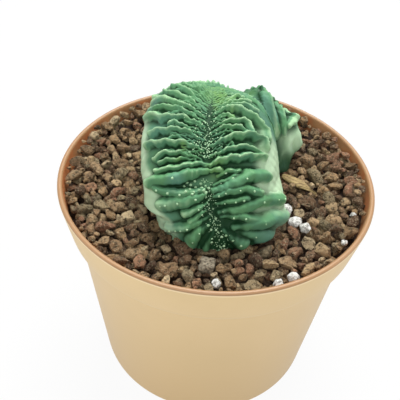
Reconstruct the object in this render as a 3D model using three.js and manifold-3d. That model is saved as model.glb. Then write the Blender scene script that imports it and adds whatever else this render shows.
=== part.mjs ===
// A crested baseball plant (Euphorbia obesa, cristate form) in a 9 cm plastic pot.
// Millimetres, +Z up, origin on the table at the middle of the pot's foot.
// The camera side of a shelf, where the plant's broad end faces, is -Y.
import * as THREE from "three";
import { mergeVertices } from "three/addons/utils/BufferGeometryUtils.js";
import Module from "manifold-3d";

const wasm = await Module();
wasm.setup();

// ---------- driving dimensions ----------
const GAP = 0.3; // between pieces that touch

const RIM_RADIUS = 45;
const POT_HEIGHT = 72;
const FOOT_RADIUS = 36.3;
const WALL = 1.2;
const LIP_WALL = 1.5; // thickness of the turned lip
const COLLAR_DEPTH = 12; // the collar below the lip
const COLLAR_RADIUS = 43.2; // at the bottom of the collar
const STEP_DEPTH = 15.5; // where the collar has stepped in to the body
const STEP_RADIUS = 40.9;
const FOOT_RING = { height: 2, width: 3.2 };
const DRAIN = { count: 5, first: 3, width: 3.4, length: 9 }; // slots in the floor; first at 3 degrees
const NOTCH = { width: 12, height: 0.7 }; // in the foot ring, one outside each slot
const POT_SIDES = 64;

const SOIL_TOP = 67.6; // the bed that the grains are sunk in
const GRAIN = { count: 150, radius: 3.3, sunk: 0.3, reach: 38.9 };

const PLANT_SUNK = 4; // depth of the plant's foot below its fan axis

// ---------- small tools ----------
// A seeded generator of numbers between 0 and 1.
function dice(seed) {
  let state = seed;
  return () => {
    state = (state * 1664525 + 1013904223) % 4294967296;
    return state / 4294967296;
  };
}

// A closed three.js geometry as a manifold-3d solid.
function solid(geometry) {
  const bare = geometry.clone();
  bare.deleteAttribute("normal");
  bare.deleteAttribute("uv");
  const merged = mergeVertices(bare, 1e-4);
  return new wasm.Manifold(
    new wasm.Mesh({
      numProp: 3,
      vertProperties: merged.attributes.position.array,
      triVerts: new Uint32Array(merged.index.array),
    }),
  );
}

// A manifold-3d solid back as a three.js geometry.
function geometryOf(body) {
  const mesh = body.getMesh();
  const geometry = new THREE.BufferGeometry();
  geometry.setAttribute("position", new THREE.BufferAttribute(mesh.vertProperties, 3));
  geometry.setIndex(new THREE.BufferAttribute(mesh.triVerts, 1));
  geometry.computeVertexNormals();
  return geometry;
}

function material(color, roughness) {
  return new THREE.MeshStandardMaterial({ color, roughness, metalness: 0 });
}

function piece(name, geometry, finish) {
  const mesh = new THREE.Mesh(geometry, finish);
  mesh.name = name;
  return mesh;
}

// ---------- pot ----------
// Outer radius of the pot's wall at a height below the step.
function bodyRadius(z) {
  const top = POT_HEIGHT - STEP_DEPTH;
  return FOOT_RADIUS + ((STEP_RADIUS - FOOT_RADIUS) * z) / top;
}

const POT_FLOOR = FOOT_RING.height + WALL; // top of the pot's floor

function potShell() {
  const lipTop = POT_HEIGHT;
  const collarBottom = POT_HEIGHT - COLLAR_DEPTH;
  const stepBottom = POT_HEIGHT - STEP_DEPTH;
  const ringInner = FOOT_RADIUS - FOOT_RING.width;
  const outline = [
    [0, FOOT_RING.height],
    [ringInner, FOOT_RING.height],
    [ringInner, 0],
    [FOOT_RADIUS - 1.2, 0],
    [bodyRadius(1.4), 1.4],
    [STEP_RADIUS, stepBottom],
    [COLLAR_RADIUS - 0.9, collarBottom - 0.9],
    [COLLAR_RADIUS + 0.15, collarBottom + 1],
    [RIM_RADIUS, lipTop - 1.4],
    [RIM_RADIUS - 0.3, lipTop - 0.35],
    [RIM_RADIUS - LIP_WALL / 2, lipTop],
    [RIM_RADIUS - LIP_WALL, lipTop - 0.6],
    [COLLAR_RADIUS - WALL, collarBottom],
    [STEP_RADIUS - WALL, stepBottom],
    [bodyRadius(POT_FLOOR) - WALL, POT_FLOOR],
    [0, POT_FLOOR],
  ];
  const profile = outline.map(([r, z]) => new THREE.Vector2(r, z));
  const turned = new THREE.LatheGeometry(profile, POT_SIDES);
  turned.rotateX(Math.PI / 2);
  let shell = solid(turned);
  for (let i = 0; i < DRAIN.count; i += 1) {
    const angle = THREE.MathUtils.degToRad(DRAIN.first + (360 * i) / DRAIN.count);
    const slot = new THREE.BoxGeometry(DRAIN.length, DRAIN.width, 3 * POT_FLOOR);
    slot.translate(ringInner - DRAIN.length / 2 - 0.6, 0, 0);
    slot.rotateZ(angle);
    const notch = new THREE.BoxGeometry(3 * FOOT_RING.width, NOTCH.width, 2 * NOTCH.height);
    notch.translate(FOOT_RADIUS, 0, 0);
    notch.rotateZ(angle);
    shell = shell.subtract(solid(slot)).subtract(solid(notch));
  }
  return shell;
}

// ---------- plant ----------
// Each lobe is a thick fan. `turn` is the way the fan's plane runs, in degrees from +Y to +X. Around
// the fan the angle goes from 0 at its near end over the top at 90 to 180 at its far end. Across it
// the angle goes from -90 at the foot of the left side over 0 at the crest to 90 at the right.
const FRONT_LOBE = {
  middle: [-2.6, -1.5, 67],
  turn: 0,
  near: 26.6,
  top: 28,
  far: 29.5,
  left: 16.8,
  right: 15.8,
  flare: [0, 5], // how much wider the left and the right side stand at the foot
  boxy: 3.6,
  steps: { around: [[-8, 9], [108, 80], [188, 28]], across: 26 },
};

const BACK_LOBE = {
  middle: [11.8, 14, 67],
  turn: 90,
  near: 13.5,
  top: 23,
  far: 13.8,
  left: 8.4,
  right: 8.4,
  flare: [0, -1.4],
  boxy: 2.6,
  steps: { around: [[-8, 3], [188, 48]], across: 18 },
};

// Ribs, each [angle around at the crest, at the tip, arch between them, angle across at the start,
// at the tip, half width, height].
const FRONT_RIGHT_RIBS = [
  [88, 97, 5, 2, 38, 1.7, 1.5],
  [80, 79, 10, 2, 47, 2.0, 2.0],
  [74, 83, 0, 2, 20, 1.3, 1.2],
  [71, 76, 4, 2, 35, 1.6, 1.7],
  [67, 71, 4, 2, 31, 1.4, 1.4],
  [60, 69, 4, 1, 44, 1.8, 1.9],
  [58, 64, 1, 4, 22, 1.2, 1.3],
  [55, 63, 1, 6, 37, 1.4, 1.5],
  [48, 57, 4, -8, 46, 2.1, 2.2],
  [46, 48, 0, -2, 13, 1.3, 2.2],
  [44, 50, 0, 12, 28, 1.4, 1.6],
  [36, 52, 0, 22, 46, 2.2, 2.3],
  [39, 44, 0, 6, 33, 1.4, 1.7],
  [33, 41, 0, 5, 42, 1.8, 2.0],
  [29, 35, 0, 8, 37, 1.5, 1.8],
  [25, 33, 0, 8, 75, 2.3, 1.8],
  [24, 21, 0, 10, 43, 1.6, 1.7],
  [18, 16, 3, 14, 60, 3.0, 3.4],
  [12, 1, 0, 12, 56, 2.4, 2.2],
  [8, -3, 0, 10, 38, 2.1, 1.8],
];

const FRONT_LEFT_RIBS = [
  [98, 122, 0, 2, 30, 1.7, 1.5],
  [93, 119, -3, 2, 36, 1.7, 1.5],
  [88, 116, -6, 2, 44, 1.8, 1.6],
  [84, 112, -8, 2, 50, 1.8, 1.8],
  [78, 104, -8, 2, 54, 1.9, 2.0],
  [72, 96, -7, 2, 58, 1.9, 2.0],
  [67, 88, -7, 2, 60, 1.9, 2.0],
  [62, 79, -6, 2, 62, 1.9, 2.0],
  [57, 68, -3, 2, 60, 1.8, 2.0],
  [55, 54, 0, 8, 44, 1.6, 1.6],
  [52, 49, 0, 8, 38, 1.4, 1.5],
  [50, 45, 0, -4, 36, 1.7, 2.0],
  [44, 39, 3, -6, 48, 2.2, 2.3],
  [35, 35, 0, 2, 37, 1.6, 1.8],
  [32, 24, 0, 2, 52, 2.4, 2.4],
  [28, 24, 0, -4, 15, 1.4, 1.9],
  [22, 16, 0, 2, 44, 2.4, 2.2],
  [18, 6, 0, -6, 14, 2.2, 2.2],
  [12, 2, 0, -14, -2, 2.0, 2.0],
  [12, 4, 0, 14, 38, 2.3, 1.8],
];

const BACK_RIGHT_RIBS = [
  [80, 105, 0, 8, 55, 1.8, 1.8],
  [84, 128, -4, 4, 60, 1.9, 1.8],
  [96, 131, 0, 4, 50, 1.8, 1.7],
  [112, 136, 0, 4, 46, 1.7, 1.7],
  [130, 140, 0, 2, 46, 1.8, 1.8],
  [150, 148, 0, 2, 44, 1.8, 1.8],
];

// Evenly spaced ribs for the far sides, long and short in turn.
function evenRibs(from, to, spacing, halfWidth) {
  const ribs = [];
  for (let angle = from; angle <= to; angle += spacing) {
    const reach = ribs.length % 2 ? 58 : 46;
    ribs.push([angle, angle, 0, 2, reach, halfWidth, halfWidth]);
  }
  return ribs;
}

FRONT_LOBE.ribs = {
  left: [...FRONT_LEFT_RIBS, ...evenRibs(130, 182, 7.5, 1.9)],
  right: [...FRONT_RIGHT_RIBS, ...evenRibs(106, 182, 7.5, 1.9)],
};
BACK_LOBE.ribs = {
  left: evenRibs(20, 172, 11, 1.9),
  right: [...BACK_RIGHT_RIBS, ...evenRibs(10, 70, 12, 1.8), ...evenRibs(162, 175, 12, 1.8)],
};

// Height of a lobe's ribs above its body at one place on it.
function relief(lobe, around, across, arm) {
  const side = across < 0 ? "left" : "right";
  const out = Math.abs(across);
  const alongDegree = 0.34; // mm of surface for one degree across
  const aroundDegree = (arm * Math.PI) / 180;
  let height = 0;
  for (const name of ["left", "right"]) {
    for (const [crest, tip, arch, start, end, half, rise] of lobe.ribs[name]) {
      const here = name === side ? out : -out;
      const share = Math.min(1, Math.max(0, (here - start) / (end - start)));
      const line = crest + (tip - crest) * share + 4 * arch * share * (1 - share);
      const beyond = Math.max(0, start - here, here - end) * alongDegree;
      const beside = (around - line) * aroundDegree;
      const far = (beside * beside + beyond * beyond) / (half * half);
      if (far < 1) height = Math.max(height, rise * Math.sqrt(1 - far));
    }
  }
  return height;
}

// A point of a lobe's skin; `extra` lifts the skin, and `ribbed` tells whether the ribs stand on it.
function skin(lobe, around, across, extra) {
  const turn = THREE.MathUtils.degToRad(lobe.turn);
  const ahead = new THREE.Vector3(Math.sin(turn), Math.cos(turn), 0);
  const aside = new THREE.Vector3(Math.cos(turn), -Math.sin(turn), 0);
  const up = new THREE.Vector3(0, 0, 1);
  const angle = THREE.MathUtils.degToRad(around);
  const sweep = THREE.MathUtils.degToRad(across);
  const n = lobe.boxy;
  const scale =
    (Math.abs(Math.sin(sweep)) ** n + Math.abs(Math.cos(sweep)) ** n) ** (-1 / n);
  const outward = Math.sin(sweep) * scale;
  const arm = Math.cos(sweep) * scale;
  const flare = lobe.flare[across < 0 ? 0 : 1] * (1 - arm);
  const half = (across < 0 ? lobe.left : lobe.right) + flare;
  const reach = Math.cos(angle) > 0 ? lobe.near : lobe.far;
  const rise = Math.sin(angle) > 0 ? lobe.top : PLANT_SUNK;
  const point = new THREE.Vector3(...lobe.middle)
    .addScaledVector(aside, outward * half)
    .addScaledVector(ahead, -arm * Math.cos(angle) * reach)
    .addScaledVector(up, arm * Math.sin(angle) * rise);
  const tilt = arm ** (n - 1);
  const normal = new THREE.Vector3()
    .addScaledVector(aside, (Math.sign(outward) * Math.abs(outward) ** (n - 1)) / half)
    .addScaledVector(ahead, (-tilt * Math.cos(angle)) / reach)
    .addScaledVector(up, (tilt * Math.sin(angle)) / rise)
    .normalize();
  const ribs = relief(lobe, around, across, arm * reach);
  return point.addScaledVector(normal, ribs + extra);
}

// A lobe as a closed solid: a sphere's grid, each point moved to its place on the skin.
function lobeSolid(lobe, extra) {
  const stops = lobe.steps.around;
  const above = stops.reduce((sum, [, steps]) => sum + steps, 0) - stops[0][1];
  const below = stops[0][1];
  const grid = new THREE.SphereGeometry(1, above + below, lobe.steps.across);
  const angles = [];
  for (let k = 1; k < stops.length; k += 1) {
    const [from] = stops[k - 1];
    const [to, steps] = stops[k];
    for (let i = 0; i < steps; i += 1) angles.push(from + ((to - from) * i) / steps);
  }
  const [first] = stops[0];
  const [last] = stops[stops.length - 1];
  for (let i = 0; i < below; i += 1) angles.push(last + ((first + 360 - last) * i) / below);
  const place = grid.getAttribute("position");
  const uv = grid.getAttribute("uv");
  for (let i = 0; i < place.count; i += 1) {
    const column = Math.round(uv.getX(i) * angles.length) % angles.length;
    const across = 90 - 180 * uv.getY(i);
    const point = skin(lobe, angles[column], across, extra);
    place.setXYZ(i, point.x, point.y, point.z);
  }
  return solid(grid);
}

function plantSolid(extra) {
  return lobeSolid(FRONT_LOBE, extra).add(lobeSolid(BACK_LOBE, extra));
}

// ---------- loose pieces on the soil ----------
// Perlite grains: [x, y, radius]
const PERLITE = [
  [20.4, -12.7, 1.6],
  [20.8, -16.9, 1.6],
  [24.2, -18.8, 1.5],
  [16.7, -38.2, 1.1],
  [20.2, -36.1, 1.3],
  [2.2, -39.6, 1.1],
  [34.6, -22.3, 0.9],
  [38.4, -11.5, 0.9],
];
const PUMICE = [-0.5, -34.9, 1.9];
const CHIP = { from: [19.6, 3.2], to: [28.9, -4.2], width: 3.2, thick: 0.9 };

// A lump with a flat underside that rests on the bed.
function lump([x, y, radius], seed, detail) {
  const roll = dice(seed);
  const ball = new THREE.IcosahedronGeometry(1, detail);
  ball.deleteAttribute("normal");
  ball.deleteAttribute("uv");
  const shape = mergeVertices(ball, 1e-4);
  const place = shape.getAttribute("position");
  const point = new THREE.Vector3();
  for (let i = 0; i < place.count; i += 1) {
    point.fromBufferAttribute(place, i).multiplyScalar(radius * (0.84 + 0.3 * roll()));
    place.setXYZ(i, point.x, point.y * 0.9, Math.max(point.z, -0.5 * radius));
  }
  shape.rotateZ(roll() * 2 * Math.PI);
  shape.translate(x, y, SOIL_TOP + GAP + 0.5 * radius);
  return geometryOf(solid(shape));
}

// A dry sliver of bark: a leaf-shaped board, pointed at both ends.
function chipGeometry() {
  const from = new THREE.Vector2(...CHIP.from);
  const to = new THREE.Vector2(...CHIP.to);
  const length = from.distanceTo(to);
  const outline = new THREE.Shape();
  outline.moveTo(0, 0);
  outline.quadraticCurveTo(0.3 * length, 0.8 * CHIP.width, length, 0);
  outline.quadraticCurveTo(0.4 * length, -0.9 * CHIP.width, 0, 0);
  const board = new THREE.ExtrudeGeometry(outline, {
    depth: CHIP.thick,
    bevelEnabled: false,
    curveSegments: 8,
  });
  board.rotateZ(Math.atan2(to.y - from.y, to.x - from.x));
  board.translate(from.x, from.y, SOIL_TOP + GAP);
  return board;
}

// ---------- soil ----------
function innerRadius(z) {
  const step = POT_HEIGHT - STEP_DEPTH;
  const collar = POT_HEIGHT - COLLAR_DEPTH;
  if (z <= step) return bodyRadius(z) - WALL;
  if (z <= collar) {
    return STEP_RADIUS - WALL + ((COLLAR_RADIUS - STEP_RADIUS) * (z - step)) / (collar - step);
  }
  const share = (z - collar) / COLLAR_DEPTH;
  return COLLAR_RADIUS - WALL + (RIM_RADIUS - LIP_WALL - COLLAR_RADIUS + WALL) * share;
}

// Whether a grain at x, y would touch a loose piece.
function taken(x, y, radius) {
  const near = ([px, py, r]) => Math.hypot(x - px, y - py) < r + radius + 0.4;
  const a = new THREE.Vector3(...CHIP.from, 0);
  const b = new THREE.Vector3(...CHIP.to, 0);
  const at = new THREE.Vector3(x, y, 0);
  const nearest = new THREE.Line3(a, b).closestPointToPoint(at, true, new THREE.Vector3());
  return [...PERLITE, PUMICE].some(near) || nearest.distanceTo(at) < CHIP.width / 2 + radius + 0.3;
}

// The fill with its grains, which lie in a sunflower spiral shaken by a seeded draw.
function soilSolid() {
  const roll = dice(7);
  const step = POT_HEIGHT - STEP_DEPTH;
  const collar = POT_HEIGHT - COLLAR_DEPTH;
  const rows = [POT_FLOOR + GAP, step, collar, SOIL_TOP];
  const profile = [
    new THREE.Vector2(0, rows[0]),
    ...rows.map((z) => new THREE.Vector2(innerRadius(z) - GAP, z)),
    new THREE.Vector2(0, SOIL_TOP),
  ];
  const fill = new THREE.LatheGeometry(profile, POT_SIDES);
  fill.rotateX(Math.PI / 2);
  let soil = solid(fill);
  const golden = Math.PI * (3 - Math.sqrt(5));
  const grains = [];
  for (let i = 0; i < GRAIN.count; i += 1) {
    const out = GRAIN.reach * Math.sqrt((i + 0.5) / GRAIN.count);
    const x = out * Math.cos(i * golden) + 0.7 * (roll() - 0.5);
    const y = out * Math.sin(i * golden) + 0.7 * (roll() - 0.5);
    const radius = GRAIN.radius * (0.8 + 0.3 * roll());
    const spin = [roll() * 6, roll() * 6, roll() * 6];
    const squash = [0.85 + 0.3 * roll(), 0.85 + 0.3 * roll(), 0.75 + 0.2 * roll()];
    if (taken(x, y, radius) || underPlant(x, y)) continue;
    const grain = new THREE.IcosahedronGeometry(radius, 0);
    grain.rotateX(spin[0]);
    grain.rotateY(spin[1]);
    grain.rotateZ(spin[2]);
    grain.scale(...squash);
    grain.translate(x, y, SOIL_TOP + (0.5 - GRAIN.sunk) * radius);
    grains.push(solid(grain));
  }
  for (const grain of grains) soil = soil.add(grain);
  const pieces = soil.subtract(plantSolid(GAP + 0.05)).decompose();
  return pieces.reduce((a, b) => (a.volume() > b.volume() ? a : b)); // loose scraps are dropped
}

// Whether x, y lies well inside the plant's foot.
function underPlant(x, y) {
  const inside = ({ middle: [mx, my], turn, near, far, left, right }) => {
    const along = turn ? x - mx : y - my;
    const side = turn ? my - y : x - mx;
    const reach = along < 0 ? near : far;
    const half = side < 0 ? left : right;
    return Math.abs(along / reach) ** 3 + Math.abs(side / half) ** 3 < 0.75;
  };
  return inside(FRONT_LOBE) || inside(BACK_LOBE);
}

// ---------- the assembled plant in its pot ----------
const PLASTIC = material("#cfa67c", 0.45);
const GREEN = material("#4c7d60", 0.6);
const BROWN = material("#6b4a38", 0.95);
const WHITE = material("#dcdad4", 0.95);
const GREY = material("#a39c92", 0.95);
const BARK = material("#8a7448", 0.85);

const pottedPlant = new THREE.Group();
pottedPlant.add(piece("pot", geometryOf(potShell()), PLASTIC));
pottedPlant.add(piece("plant", geometryOf(plantSolid(0)), GREEN));
pottedPlant.add(piece("soil", geometryOf(soilSolid()), BROWN));
PERLITE.forEach((grain, i) => {
  pottedPlant.add(piece(`perlite_${i + 1}`, lump(grain, 20 + i, 1), WHITE));
});
pottedPlant.add(piece("pumice", lump(PUMICE, 31, 1), GREY));
pottedPlant.add(piece("wood_chip", chipGeometry(), BARK));

export default pottedPlant;
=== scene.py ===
"""A crested baseball plant (Euphorbia obesa, cristate form) in a 9 cm plastic pot."""
import math
import random

import bmesh
import bpy
import numpy as np
from mathutils import Matrix, Vector, kdtree, noise


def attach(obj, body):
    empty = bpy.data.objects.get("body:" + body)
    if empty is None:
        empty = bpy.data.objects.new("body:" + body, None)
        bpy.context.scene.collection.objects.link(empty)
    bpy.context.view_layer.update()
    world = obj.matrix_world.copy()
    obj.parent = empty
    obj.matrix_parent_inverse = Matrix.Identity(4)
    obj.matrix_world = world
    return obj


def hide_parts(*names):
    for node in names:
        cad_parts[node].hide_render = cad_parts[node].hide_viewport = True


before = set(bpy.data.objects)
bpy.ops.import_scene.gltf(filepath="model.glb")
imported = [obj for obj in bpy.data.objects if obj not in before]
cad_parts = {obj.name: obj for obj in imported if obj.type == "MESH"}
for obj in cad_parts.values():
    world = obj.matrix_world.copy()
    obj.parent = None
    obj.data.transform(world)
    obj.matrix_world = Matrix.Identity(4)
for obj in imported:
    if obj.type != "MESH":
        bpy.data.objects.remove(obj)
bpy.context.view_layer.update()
MM = 0.001

# ---------- the studio ----------
# The pot stands on a white light table. The main light is a soft lamp overhead and a little
# behind it, and three weaker ones fill in from the front and the sides. The camera looks down at
# the plant from the front and is tilted a few degrees.
WHITE = (1.0, 1.0, 1.0, 1.0)
SKY_STRENGTH = 0.30
TABLE_SHADE = (0.03, 0.03, 0.03, 1.0)
TABLE_GLOW = 0.94
TABLE_HALF = 4.0  # metres from its middle to its sides
LAMP_AIM = Vector((0.0, 0.0, 0.07))
# Each lamp: its name, its place and width in metres, and its power in watts.
LAMPS = (("overhead", (0.04, 0.35, 0.85), 0.45, 13.5), ("front", (-0.05, -0.90, 0.80), 0.80, 7.0),
         ("left", (-0.80, -0.10, 0.30), 0.50, 1.8), ("right", (0.80, 0.05, 0.25), 0.50, 1.6))
EYE = Vector((0.0, -119.3, 168.2)) * MM
AIM = Vector((-3.78, -13.68, 72.0)) * MM
TILT = math.radians(3.22)
LENS, SENSOR = 47.67, 36.0  # mm
scene = bpy.context.scene
scene.view_settings.view_transform = "Standard"


def colour_of(hex_code):
    """A colour written as on a paint chart, in the linear values that shaders take."""
    parts = [int(hex_code[i:i + 2], 16) / 255 for i in (1, 3, 5)]
    linear = [c / 12.92 if c <= 0.04045 else ((c + 0.055) / 1.055) ** 2.4 for c in parts]
    return (*linear, 1.0)


class Finish:
    """A material with one Principled shader, and short calls for the nodes that feed it."""

    def __init__(self, name, roughness, **constants):
        self.material = bpy.data.materials.new(name)
        self.material.use_nodes = True
        self.nodes = self.material.node_tree.nodes
        self.links = self.material.node_tree.links
        self.shader = self.nodes["Principled BSDF"]
        self.shader.inputs["Roughness"].default_value = roughness
        for socket, value in constants.items():
            self.shader.inputs[socket.replace("_", " ")].default_value = value
        self.place = self.nodes.new("ShaderNodeTexCoord").outputs["Object"]

    def node(self, kind, inputs=None, **settings):
        """A node with its settings, its input values and its incoming links."""
        made = self.nodes.new(kind)
        for key, value in settings.items():
            setattr(made, key, value)
        for key, value in (inputs or {}).items():
            if isinstance(value, bpy.types.NodeSocket):
                self.links.new(value, made.inputs[key])
            else:
                made.inputs[key].default_value = value
        return made

    def noise(self, scale, detail=3.0):
        values = {"Vector": self.place, "Scale": scale, "Detail": detail, "Roughness": 0.55}
        return self.node("ShaderNodeTexNoise", values).outputs["Fac"]

    def ramp(self, value, low, high, to_low=0.0, to_high=1.0):
        values = {"Value": value, "From Min": low, "From Max": high, "To Min": to_low,
                  "To Max": to_high}
        return self.node("ShaderNodeMapRange", values, clamp=True).outputs["Result"]

    def mix(self, share, first, second):
        values = {0: share, 6: first, 7: second}
        return self.node("ShaderNodeMix", values, data_type="RGBA").outputs[2]

    def maths(self, operation, first, second):
        values = {0: first, 1: second}
        return self.node("ShaderNodeMath", values, operation=operation).outputs[0]

    def attribute(self, name):
        """The red, green and blue parts of a painted attribute."""
        paint = self.node("ShaderNodeAttribute", attribute_name=name).outputs["Color"]
        return self.node("ShaderNodeSeparateColor", {"Color": paint}).outputs

    def colour(self, value):
        if isinstance(value, bpy.types.NodeSocket):
            self.links.new(value, self.shader.inputs["Base Color"])
        else:
            self.shader.inputs["Base Color"].default_value = value

    def bump(self, height, distance, strength=1.0):
        values = {"Height": height, "Distance": distance, "Strength": strength}
        made = self.node("ShaderNodeBump", values)
        self.links.new(made.outputs["Normal"], self.shader.inputs["Normal"])


def add_object(name, mesh, *finishes):
    """An object at the origin that holds a finished mesh."""
    made = bpy.data.objects.new(name, mesh)
    scene.collection.objects.link(made)
    for finish in finishes:
        mesh.materials.append(finish.material)
    return made


def mesh_of(work, name, smooth=True):
    """A finished mesh from a bmesh, which is then freed."""
    made = bpy.data.meshes.new(name)
    work.to_mesh(made)
    work.free()
    made.polygons.foreach_set("use_smooth", [smooth] * len(made.polygons))
    return made


def add_lamp(name, place, width, watts):
    """A square soft lamp aimed at the pot."""
    data = bpy.data.lights.new(name, "AREA")
    data.size = width
    data.energy = watts
    lamp = bpy.data.objects.new(name, data)
    lamp.location = place
    lamp.rotation_mode = "QUATERNION"
    lamp.rotation_quaternion = (LAMP_AIM - Vector(place)).to_track_quat("-Z", "Y")
    scene.collection.objects.link(lamp)


camera_data = bpy.data.cameras.new("camera")
camera_data.sensor_width = SENSOR
camera_data.lens = LENS
camera_data.clip_start = 10 * MM
camera = bpy.data.objects.new("camera", camera_data)
looking = (AIM - EYE).to_track_quat("-Z", "Y").to_matrix() @ Matrix.Rotation(TILT, 3, "Z")
camera.matrix_world = Matrix.Translation(EYE) @ looking.to_4x4()
scene.collection.objects.link(camera)
scene.camera = camera

world = bpy.data.worlds.new("studio")
world.use_nodes = True
world.node_tree.nodes["Background"].inputs["Color"].default_value = WHITE
world.node_tree.nodes["Background"].inputs["Strength"].default_value = SKY_STRENGTH
scene.world = world

light_table = Finish("light_table", 1.0, Specular_IOR_Level=0.0, Emission_Color=WHITE,
                     Emission_Strength=TABLE_GLOW)
light_table.colour(TABLE_SHADE)
work = bmesh.new()
bmesh.ops.create_grid(work, x_segments=1, y_segments=1, size=TABLE_HALF)
table = add_object("table", mesh_of(work, "table", smooth=False), light_table)
for lamp in LAMPS:
    add_lamp(*lamp)

# ---------- the pot ----------
# One thin moulding of pale tan plastic: a tapered wall, a collar that steps out below the turned
# lip, and a foot ring with five shallow notches. Slots in the floor let the water out. The sizes
# are in mm.
RIM_RADIUS, POT_HEIGHT, FOOT_RADIUS = 45.0, 72.0, 36.3
WALL, LIP_WALL = 1.2, 1.5
COLLAR_RADIUS, COLLAR_Z = 43.35, 61.0
STEP_RADIUS, STEP_Z = 40.9, 56.5
RING_HEIGHT, RING_WIDTH = 2.0, 3.2
POT_FLOOR = RING_HEIGHT + WALL
RING_INNER = FOOT_RADIUS - RING_WIDTH
DRAINS, FIRST_DRAIN = 5, math.radians(3)
SLOT_LENGTH, SLOT_WIDTH, SLOT_INSET = 9.0, 3.4, 0.6
NOTCH_WIDTH, NOTCH_HEIGHT = 12.0, 0.7
FOOT_ROUND, FOOT_FLARE = 1.2, 0.2
RING_EASE, UNDER_EASE, FLOOR_EASE = 0.4, 0.3, 0.5
POT_TURNS = 192
# Heights at which the lip, painted darker as shade, and the painted highlight line below it start, and
# how softly, in mm.
LIP_FOOT, EDGE_FOOT, EDGE_FADE = 71.4, 71.0, 0.2
INNER_SHADE_FADE = 0.3


def arc(middle_r, middle_z, radius, start, end, steps):
    """Points of a round stretch of a turned outline, between two angles in degrees."""
    angles = [math.radians(start + (end - start) * i / steps) for i in range(steps + 1)]
    return [(middle_r + radius * math.cos(a), middle_z + radius * math.sin(a)) for a in angles]


def smooth_bend(r0, z0, r1, z1, steps):
    """An S-shaped stretch from one upright wall to another."""
    shares = [i / steps for i in range(steps + 1)]
    return [(r0 + (r1 - r0) * s * s * (3 - 2 * s), z0 + (z1 - z0) * s) for s in shares]


def turned(outline, turns, name):
    """A closed body turned round the Z axis from an outline that starts and ends on it."""
    work = bmesh.new()
    points = [work.verts.new((r * MM, 0.0, z * MM)) for r, z in outline]
    for a, b in zip(points, points[1:]):
        work.edges.new((a, b))
    bmesh.ops.spin(work, geom=work.verts[:] + work.edges[:], cent=(0, 0, 0), axis=(0, 0, 1),
                   angle=2 * math.pi, steps=turns, use_merge=True)
    bmesh.ops.remove_doubles(work, verts=work.verts, dist=1e-7)
    bmesh.ops.recalc_face_normals(work, faces=work.faces)
    return mesh_of(work, name)


def joined(target, other, operation):
    """Joins or cuts the target with the other object, which is then removed."""
    change = target.modifiers.new("change", "BOOLEAN")
    change.operation = operation
    change.solver = "MANIFOLD"
    change.object = other
    shown = target.evaluated_get(bpy.context.evaluated_depsgraph_get())
    mesh = bpy.data.meshes.new_from_object(shown)
    target.modifiers.clear()
    target.data = mesh
    bpy.data.objects.remove(other)
    mesh.materials.clear()
    mesh.polygons.foreach_set("use_smooth", [True] * len(mesh.polygons))
    return mesh


def wall_middle(z):
    """Radius of the middle of the pot's wall at a height."""
    if z < STEP_Z:
        return FOOT_RADIUS + (STEP_RADIUS - FOOT_RADIUS) * z / STEP_Z - WALL / 2
    if z < COLLAR_Z:
        share = (z - STEP_Z) / (COLLAR_Z - STEP_Z)
        return STEP_RADIUS + (COLLAR_RADIUS - STEP_RADIUS) * share - WALL / 2
    share = (z - COLLAR_Z) / (POT_HEIGHT - COLLAR_Z)
    wall = WALL + (LIP_WALL - WALL) * share
    return COLLAR_RADIUS + (RIM_RADIUS - COLLAR_RADIUS) * share - wall / 2


# The outline runs from the middle of the floor's underside round the ring, up the outside, over
# the lip and down the inside to the middle of the floor.
pot_outline = [(0, RING_HEIGHT), (RING_INNER - RING_EASE, RING_HEIGHT),
               (RING_INNER, RING_HEIGHT - RING_EASE), (RING_INNER, UNDER_EASE),
               (RING_INNER + UNDER_EASE, 0)]
pot_outline += arc(FOOT_RADIUS + FOOT_FLARE - FOOT_ROUND, FOOT_ROUND, FOOT_ROUND, -90, 0, 6)
pot_outline += smooth_bend(STEP_RADIUS, STEP_Z, COLLAR_RADIUS, COLLAR_Z, 8)
pot_outline += arc(RIM_RADIUS - LIP_WALL / 2, POT_HEIGHT - LIP_WALL / 2, LIP_WALL / 2, 0, 180, 10)
pot_outline += smooth_bend(COLLAR_RADIUS - WALL, COLLAR_Z, STEP_RADIUS - WALL, STEP_Z, 6)
pot_outline += [(FOOT_RADIUS - WALL + FOOT_FLARE, POT_FLOOR + FLOOR_EASE),
                (FOOT_RADIUS - WALL - RING_EASE, POT_FLOOR), (0, POT_FLOOR)]
pot = add_object("pot_shell", turned(pot_outline, POT_TURNS, "pot_shell"))
cutters = bmesh.new()
for i in range(DRAINS):
    heading = Matrix.Rotation(FIRST_DRAIN + 2 * math.pi * i / DRAINS, 4, "Z")
    middle = (RING_INNER - SLOT_INSET - SLOT_LENGTH / 2) * MM
    size = Matrix.Diagonal((SLOT_LENGTH * MM, SLOT_WIDTH * MM, 4 * WALL * MM, 1))
    place = Matrix.Translation((middle, 0, RING_HEIGHT * MM))
    bmesh.ops.create_cube(cutters, size=1.0, matrix=heading @ place @ size)
    size = Matrix.Diagonal((3 * RING_WIDTH * MM, NOTCH_WIDTH * MM, 2 * NOTCH_HEIGHT * MM, 1))
    place = Matrix.Translation((FOOT_RADIUS * MM, 0, 0))
    bmesh.ops.create_cube(cutters, size=1.0, matrix=heading @ place @ size)
joined(pot, add_object("cutters", mesh_of(cutters, "cutters")), "DIFFERENCE")

# The inner wall is painted warmer and darker, as shade and as the soil's colour thrown back onto it.
# The lip is painted darker as shade, with a painted highlight as a pale line below it.
painted_inner_shade = pot.data.attributes.new("painted_inner_shade", "FLOAT_COLOR", "POINT")
for v in pot.data.vertices:
    depth = wall_middle(v.co.z / MM) + INNER_SHADE_FADE - math.hypot(v.co.x, v.co.y) / MM
    inside = min(1.0, max(0.0, depth / INNER_SHADE_FADE))
    painted_inner_shade.data[v.index].color = (inside, 0.0, 0.0, 1.0)

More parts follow.
